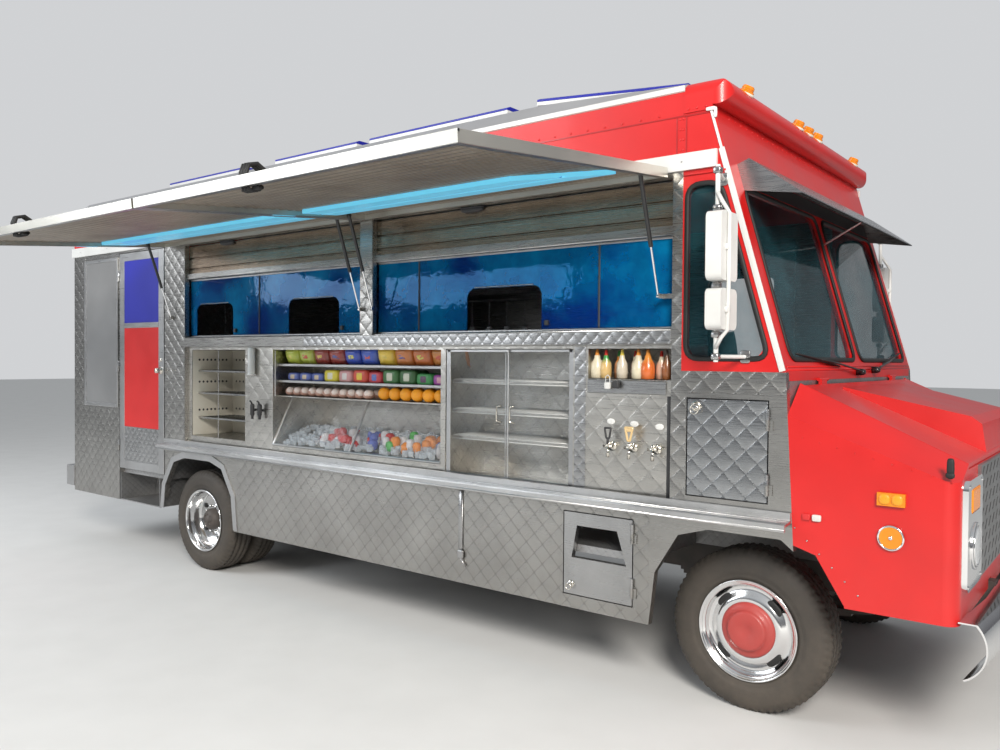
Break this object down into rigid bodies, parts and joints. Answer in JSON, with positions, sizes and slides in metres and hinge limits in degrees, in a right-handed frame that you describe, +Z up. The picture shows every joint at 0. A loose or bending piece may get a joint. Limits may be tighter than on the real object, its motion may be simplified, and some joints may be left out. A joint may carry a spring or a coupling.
{
  "type": "food truck",
  "caption": "Food truck with stainless kitchen body, red cab, two lift-up awnings, serving bay with sill and shelf, hinged doors, roof lids and twin rear wheels.",
  "frame": {"origin": "on the ground, in the middle of the whole outline in plan", "axes": "+X towards the front, +Z up, serving side on -Y"},
  "size_m": [7.8, 4.3258, 3.2471],
  "materials": {
    "chassis": "satin black",
    "engine": "rough",
    "pipe": "dull",
    "deck": "tread plate",
    "stainless": "brushed",
    "red": "gloss",
    "white": "gloss",
    "cab_glass": "clear",
    "display_glass": "clear",
    "blue_acrylic": "tinted",
    "grille": "satin",
    "chrome": "polished",
    "lens": "moulded",
    "amber": "gloss",
    "mirrors": "polished",
    "seat": "grained vinyl",
    "dash": "grained",
    "strut_black": "satin",
    "wheel": "gloss",
    "tyre": "moulded"
  },
  "bodies": {
    "truck": {"frame": "chassis", "springs": "chassis", "front_axle": "chassis", "rear_axle": "chassis", "engine": "engine", "fuel_tank": "chassis", "exhaust": "pipe", "floor": "deck", "wheel_boxes": "deck", "right_wall": "stainless", "left_wall": "stainless", "rear_wall": "stainless", "upper_band": "red", "rails": "white", "roof": "white", "roof_cap": "red", "cab_shell": "red", "cab_glass": "cab_glass", "visor": "white", "nose": "red", "grille": "grille", "lamp_bezels": "chrome", "headlamps": "lens", "small_lamps": "amber", "front_bumper": "chrome", "rear_bumper": "stainless", "mirrors": "mirrors", "shelf": "stainless", "cabinet": "stainless", "display_glass": "display_glass", "service_windows": "blue_acrylic", "cab_seat": "seat", "dashboard": "dash", "kitchen_bench": "stainless"},
    "hood": {"hood": "red"},
    "side_door": {"side_door": "stainless"},
    "locker_door": {"locker_door": "stainless"},
    "generator_door": {"generator_door": "stainless"},
    "rear_door": {"rear_door": "stainless"},
    "cab_door": {"cab_door": "stainless"},
    "knuckle_left": {"knuckle_left": "chassis"},
    "knuckle_right": {"knuckle_right": "chassis"},
    "front_wheel_left": {"front_wheel_left": "wheel", "front_tyre_left": "tyre"},
    "front_wheel_right": {"front_wheel_right": "wheel", "front_tyre_right": "tyre"},
    "rear_wheels_left": {"rear_wheel_left": "wheel", "rear_tyres_left": "tyre"},
    "rear_wheels_right": {"rear_wheel_right": "wheel", "rear_tyres_right": "tyre"},
    "awning_front": {"awning_front": "white"},
    "strut_tubes_front": {"strut_tubes_front": "strut_black"},
    "strut_rods_front": {"strut_rods_front": "chrome"},
    "awning_rear": {"awning_rear": "white"},
    "strut_tubes_rear": {"strut_tubes_rear": "strut_black"},
    "strut_rods_rear": {"strut_rods_rear": "chrome"},
    "roof_lid_1": {"roof_lid_1": "white"},
    "roof_lid_2": {"roof_lid_2": "white"},
    "roof_lid_3": {"roof_lid_3": "white"},
    "roof_lid_4": {"roof_lid_4": "white"}
  },
  "joints": [
    {"name": "steer_left", "type": "hinge", "parent": "truck", "child": "knuckle_left", "pos_m": [2.79995, 1.46286, 0.4055], "axis": [0, 0, 1], "range_deg": [-30, 30]},
    {"name": "spin_front_left", "type": "hinge", "parent": "knuckle_left", "child": "front_wheel_left", "pos_m": [2.79995, 1.61286, 0.4055], "axis": [0, 1, 0], "continuous": true},
    {"name": "spin_rear_left", "type": "hinge", "parent": "truck", "child": "rear_wheels_left", "pos_m": [-1.72005, 1.66286, 0.4055], "axis": [0, 1, 0], "continuous": true},
    {"name": "steer_right", "type": "hinge", "parent": "truck", "child": "knuckle_right", "pos_m": [2.79995, -0.13714, 0.4055], "axis": [0, 0, 1], "range_deg": [-30, 30]},
    {"name": "spin_front_right", "type": "hinge", "parent": "knuckle_right", "child": "front_wheel_right", "pos_m": [2.79995, -0.28714, 0.4055], "axis": [0, 1, 0], "continuous": true},
    {"name": "spin_rear_right", "type": "hinge", "parent": "truck", "child": "rear_wheels_right", "pos_m": [-1.72005, -0.33714, 0.4055], "axis": [0, 1, 0], "continuous": true},
    {"name": "awning_front", "type": "hinge", "parent": "truck", "child": "awning_front", "pos_m": [1.38745, -0.57714, 2.655], "axis": [1, 0, 0], "range_deg": [0, 84.4]},
    {"name": "strut_turn_front", "type": "hinge", "parent": "awning_front", "child": "strut_tubes_front", "pos_m": [1.38745, -0.77618, 2.63548], "axis": [1, 0, 0], "range_deg": [-103.53, 0]},
    {"name": "strut_slide_front", "type": "slide", "parent": "strut_tubes_front", "child": "strut_rods_front", "axis": [0, 0.3269, -0.9451], "range_m": [-0.21413, 0]},
    {"name": "awning_rear", "type": "hinge", "parent": "truck", "child": "awning_rear", "pos_m": [-0.89505, -0.57714, 2.655], "axis": [1, 0, 0], "range_deg": [0, 84.4]},
    {"name": "strut_turn_rear", "type": "hinge", "parent": "awning_rear", "child": "strut_tubes_rear", "pos_m": [-0.89505, -0.77618, 2.63548], "axis": [1, 0, 0], "range_deg": [-103.53, 0]},
    {"name": "strut_slide_rear", "type": "slide", "parent": "strut_tubes_rear", "child": "strut_rods_rear", "axis": [0, 0.3269, -0.9451], "range_m": [-0.21413, 0]},
    {"name": "side_door", "type": "hinge", "parent": "truck", "child": "side_door", "pos_m": [-2.90205, -0.56614, 1.6], "axis": [0, 0, -1], "range_deg": [0, 110]},
    {"name": "locker_door", "type": "hinge", "parent": "truck", "child": "locker_door", "pos_m": [2.97195, -0.56614, 1.32], "axis": [0, 0, 1], "range_deg": [0, 110]},
    {"name": "generator_door", "type": "hinge", "parent": "truck", "child": "generator_door", "pos_m": [2.27695, -0.56614, 0.7], "axis": [0, 0, 1], "range_deg": [0, 110]},
    {"name": "rear_door", "type": "hinge", "parent": "truck", "child": "rear_door", "pos_m": [-3.75905, 1.05986, 1.6], "axis": [0, 0, -1], "range_deg": [0, 110]},
    {"name": "cab_door", "type": "slide", "parent": "truck", "child": "cab_door", "axis": [1, 0, 0], "range_m": [-0.74, 0]},
    {"name": "hood", "type": "hinge", "parent": "truck", "child": "hood", "pos_m": [3.05895, 0.66286, 1.652], "axis": [0, -1, 0], "range_deg": [0, 60]},
    {"name": "roof_lid_1", "type": "hinge", "parent": "truck", "child": "roof_lid_1", "pos_m": [-1.29905, 0.08086, 3.1993], "axis": [0, 1, 0], "range_deg": [0, 32]},
    {"name": "roof_lid_2", "type": "hinge", "parent": "truck", "child": "roof_lid_2", "pos_m": [0.02095, 0.08086, 3.1993], "axis": [0, 1, 0], "range_deg": [0, 32]},
    {"name": "roof_lid_3", "type": "hinge", "parent": "truck", "child": "roof_lid_3", "pos_m": [1.33095, 0.08086, 3.1993], "axis": [0, 1, 0], "range_deg": [0, 32]},
    {"name": "roof_lid_4", "type": "hinge", "parent": "truck", "child": "roof_lid_4", "pos_m": [2.47184, 0.08086, 3.11533], "axis": [0, 1, 0], "range_deg": [0, 32]}
  ],
  "couplings": [
    {"joint": "steer_right", "follows": "steer_left", "ratio": 1},
    {"joint": "strut_turn_front", "follows": "awning_front", "ratio": -1.2261},
    {"joint": "strut_slide_front", "follows": "awning_front", "m_per_rad": -0.14523},
    {"joint": "strut_turn_rear", "follows": "awning_rear", "ratio": -1.2261},
    {"joint": "strut_slide_rear", "follows": "awning_rear", "m_per_rad": -0.14523}
  ]
}
